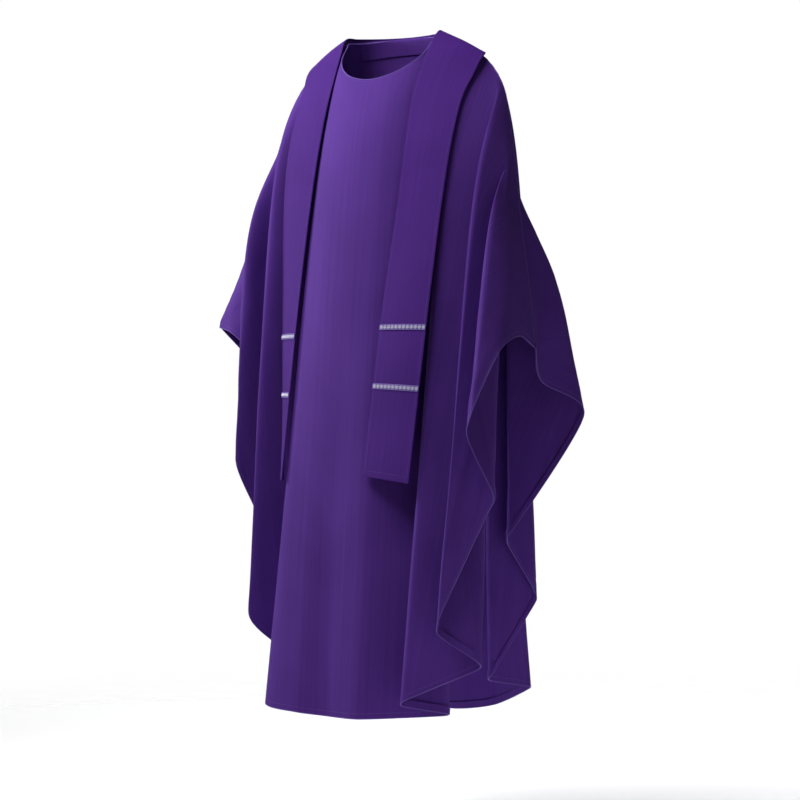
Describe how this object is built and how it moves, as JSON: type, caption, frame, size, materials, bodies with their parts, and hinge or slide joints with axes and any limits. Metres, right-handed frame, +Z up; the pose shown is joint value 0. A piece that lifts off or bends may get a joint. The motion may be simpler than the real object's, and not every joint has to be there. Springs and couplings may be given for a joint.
{
  "type": "chasuble with outer stole",
  "caption": "Full semi-gothic chasuble in draped cloth with faced neck and hems, and a lined outer stole over it whose two bands hang free at the front.",
  "frame": {"origin": "centre of the neck opening, at the height where neck and shoulder meet", "axes": "+Z up, -Y the front of the garment, +X the wearer's left"},
  "size_m": [0.7065, 0.505, 1.2824],
  "materials": {
    "chasuble_cloth": "matt polyester crepe",
    "stole_cloth": "matt polyester crepe, a shade deeper",
    "stole_lining": "smooth lining twill",
    "interlining": "matt canvas",
    "seam_tape": "woven tape",
    "braid": "metallised woven braid"
  },
  "bodies": {
    "garment": {"front_panel": "chasuble_cloth", "back_panel": "chasuble_cloth", "front_neck_facing": "chasuble_cloth", "back_neck_facing": "chasuble_cloth", "left_shoulder_seam_tape": "seam_tape", "right_shoulder_seam_tape": "seam_tape", "front_hem_facing": "chasuble_cloth", "back_hem_facing": "chasuble_cloth", "left_stole_collar_shell": "stole_cloth", "left_stole_collar_interlining": "interlining", "left_stole_collar_lining": "stole_lining", "right_stole_collar_shell": "stole_cloth", "right_stole_collar_interlining": "interlining", "right_stole_collar_lining": "stole_lining"},
    "left_band": {"left_stole_band_shell": "stole_cloth", "left_stole_band_interlining": "interlining", "left_stole_band_lining": "stole_lining", "left_band_upper_braid": "braid", "left_band_lower_braid": "braid"},
    "right_band": {"right_stole_band_shell": "stole_cloth", "right_stole_band_interlining": "interlining", "right_stole_band_lining": "stole_lining", "right_band_upper_braid": "braid", "right_band_lower_braid": "braid"}
  },
  "joints": [
    {"name": "left_band_swing", "type": "hinge", "parent": "garment", "child": "left_band", "pos_m": [0.137, -0.072, -0.1197], "axis": [-1, 0, 0], "range_deg": [0, 30]},
    {"name": "right_band_swing", "type": "hinge", "parent": "garment", "child": "right_band", "pos_m": [-0.145, -0.06, -0.1197], "axis": [-1, 0, 0], "range_deg": [0, 30]}
  ]
}
